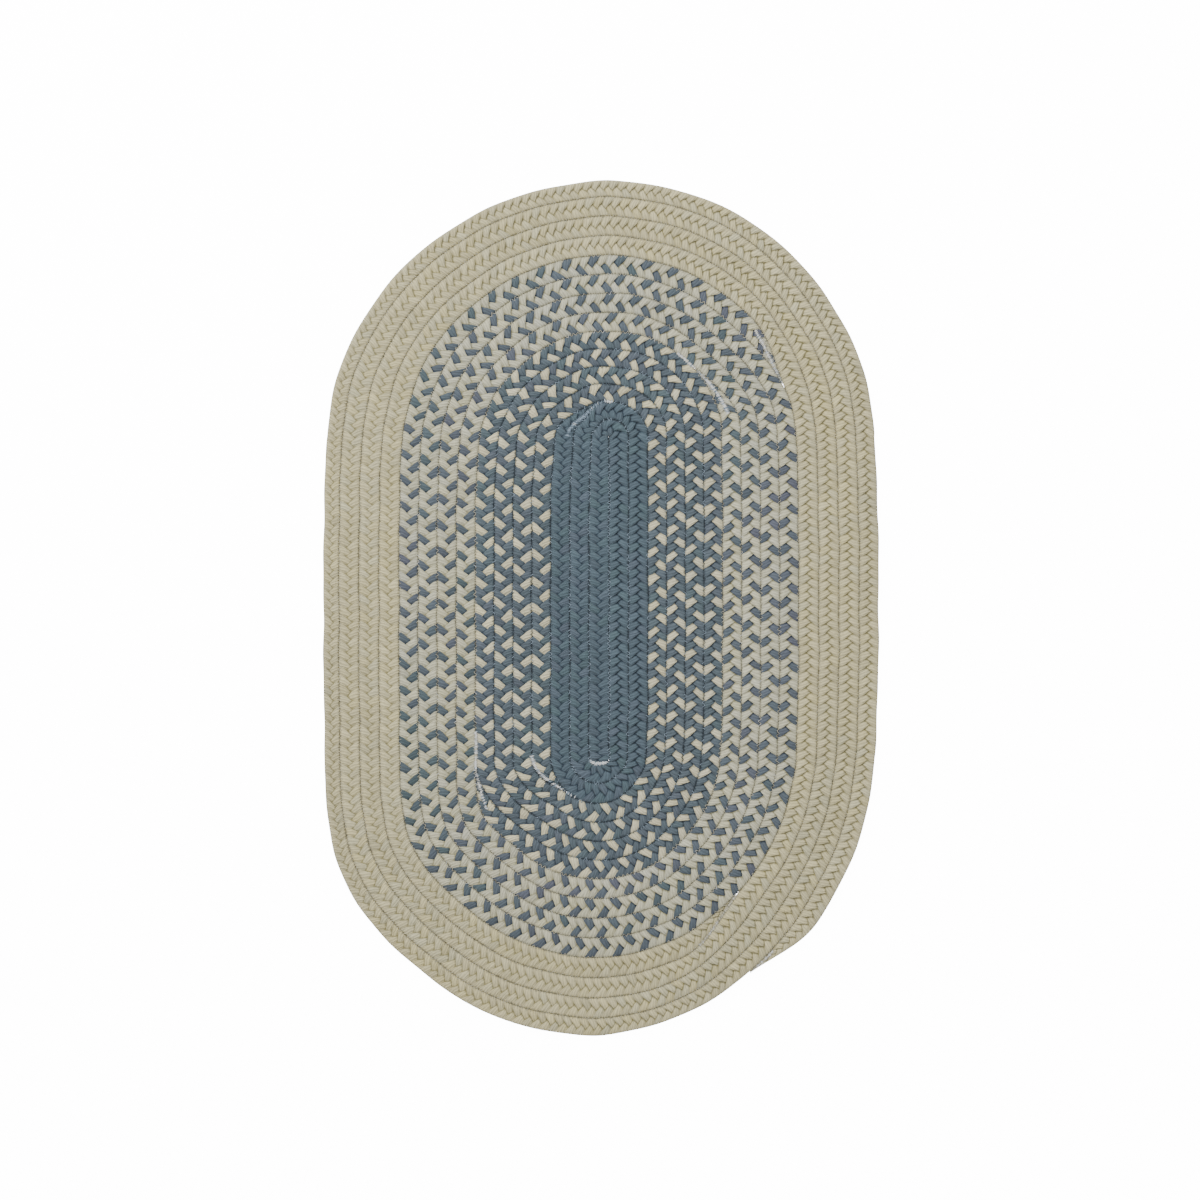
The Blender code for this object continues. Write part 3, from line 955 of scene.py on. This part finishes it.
def yarn_material(name, group, main, shadow, accent=None, accent_shadow=None):
    """Matt plaited yarn. The dye's tone and the fibres lighten and darken it a little, the grooves between
    the yarns are darkened with painted shade and their crests lightened a little, and the creases, the seams
    and the furrows beside them take on a painted shadow colour. The yarns and fibres of a strand are raised."""
    material = bpy.data.materials.new(name)
    material.use_nodes = True
    tree = material.node_tree
    shader = tree.nodes["Principled BSDF"]
    lobe = node(tree, "ShaderNodeGroup", node_tree=group)
    colour = toned(tree, lobe, *main)
    if accent is not None:
        colour = blended(tree, lobe.outputs["Accent"], colour, toned(tree, lobe, *accent))
        shadow = blended(tree, lobe.outputs["Accent"], shadow, accent_shadow)
    light = maths(tree, "MULTIPLY_ADD", lobe.outputs["Tone"], 0.45, 0.775)
    light = maths(tree, "MULTIPLY", light, ramp(tree, lobe.outputs["Fibre"], 0.3, 0.7, 0.86, 1.12))
    # painted shade in the grooves between a strand's yarns, and a slight painted highlight on their crests
    light = maths(tree, "MULTIPLY", light, ramp(tree, lobe.outputs["Yarn"], 0.0, 0.5, 0.80, 1.03))
    grey = node(tree, "ShaderNodeCombineColor", {"Red": light, "Green": light, "Blue": light}).outputs[0]
    colour = blended(tree, 1.0, colour, grey, "MULTIPLY")
    # painted shadow: the creases, the seams and the furrows are blended towards the shadow colour
    for mask, strength in MASKS.items():
        share = maths(tree, "MULTIPLY", lobe.outputs[mask], strength)
        colour = blended(tree, share, colour, blended(tree, 1.0, colour, shadow, "MULTIPLY"))
    tree.links.new(colour, shader.inputs["Base Color"])
    rough = maths(tree, "MULTIPLY_ADD", lobe.outputs["Fibre"], 0.2, 0.75)
    tree.links.new(rough, shader.inputs["Roughness"])
    height = maths(tree, "MULTIPLY_ADD", lobe.outputs["Fibre"], 0.5, lobe.outputs["Yarn"])
    bump = node(tree, "ShaderNodeBump", {"Height": height, "Strength": 0.8, "Distance": RELIEF})
    tree.links.new(bump.outputs["Normal"], shader.inputs["Normal"])
    shader.inputs["Sheen Weight"].default_value = 0.15
    shader.inputs["Sheen Roughness"].default_value = 0.6
    shader.inputs["Specular IOR Level"].default_value = 0.25
    return material


def plain_material(name, colour, roughness):
    material = bpy.data.materials.new(name)
    material.use_nodes = True
    shader = material.node_tree.nodes["Principled BSDF"]
    shader.inputs["Base Color"].default_value = (*colour, 1)
    shader.inputs["Roughness"].default_value = roughness
    return material


# ---------------------------------------------------------------- floor, light and camera

GLOW = 14.0  # of the floor, as the camera sees it


def floor_material():
    """White paper that looks brighter than it lights the rug."""
    material = plain_material("pale_floor", (0.9, 0.9, 0.9), 0.7)
    tree = material.node_tree
    shader = tree.nodes["Principled BSDF"]
    shader.inputs["Emission Color"].default_value = (1, 1, 1, 1)
    seen = node(tree, "ShaderNodeLightPath").outputs["Is Camera Ray"]
    tree.links.new(maths(tree, "MULTIPLY", seen, GLOW), shader.inputs["Emission Strength"])
    return material


def floor():
    """A plain pale square, a hair under the rug."""
    mesh = bpy.data.meshes.new("floor")
    half, low = 12.0, -0.0004
    corners = [(-half, -half, low), (half, -half, low), (half, half, low), (-half, half, low)]
    mesh.from_pydata(corners, [], [(0, 1, 2, 3)])
    mesh.materials.append(floor_material())
    piece = bpy.data.objects.new("floor", mesh)
    bpy.context.scene.collection.objects.link(piece)


def softbox(name, place, size, power):
    """A square area light that faces the rug's middle."""
    light = bpy.data.lights.new(name, "AREA")
    light.size = size
    light.energy = power
    lamp = bpy.data.objects.new(name, light)
    bpy.context.scene.collection.objects.link(lamp)
    lamp.location = place
    towards = -lamp.location
    lamp.rotation_euler = towards.to_track_quat("-Z", "Y").to_euler()


def studio():
    """A pale sky, a broad softbox overhead towards the rug's upper left and a weaker one opposite."""
    world = bpy.data.worlds.new("studio")
    world.use_nodes = True
    sky = world.node_tree.nodes["Background"]
    sky.inputs["Color"].default_value = (1, 1, 1, 1)
    sky.inputs["Strength"].default_value = 0.55
    bpy.context.scene.world = world
    softbox("key", (-1.1, 1.7, 2.3), 1.3, 88)
    softbox("fill", (1.6, -0.8, 2.2), 2.0, 18)


def camera():
    """Straight above the rug, four metres up, with a long lens."""
    data = bpy.data.cameras.new("camera")
    data.lens = 112
    data.sensor_width = 36
    eye = bpy.data.objects.new("camera", data)
    eye.location = (-0.0011, 0.0079, 4.0)
    bpy.context.scene.collection.objects.link(eye)
    bpy.context.scene.camera = eye


# ---------------------------------------------------------------- the rug

camera()
studio()
floor()

group = lobe_group()
blue = ("blue_cream_yarn", group, BAND_BLUES, NAVY_SHADOW)
cream = ("cream_blue_yarn", group, BAND_CREAMS, TAN_SHADOW)
yarns = {
    "blue_yarn": yarn_material("blue_yarn", group, BLUES, NAVY_SHADOW),
    "blue_yarn_cream_fleck": yarn_material(*blue, FLECK_CREAMS, GREY_SHADOW),
    "cream_yarn_blue_fleck": yarn_material(*cream, FLECK_BLUES, NAVY_SHADOW),
    "cream_yarn": yarn_material("cream_yarn", group, CREAMS, OLIVE_SHADOW),
}
threads = {name: plain_material("thread_" + name, colour, 0.7) for name, colour in THREADS.items()}

route = None
for name, facts in PLAITS.items():
    before = route
    piece, route = plait(name, **facts)
    piece.data.materials.append(yarns[facts["slot"]])
    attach(piece, "root")
    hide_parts("braid_" + name)
    sewn = sewing(name, route, before, facts["seed"])
    route.mean_width()
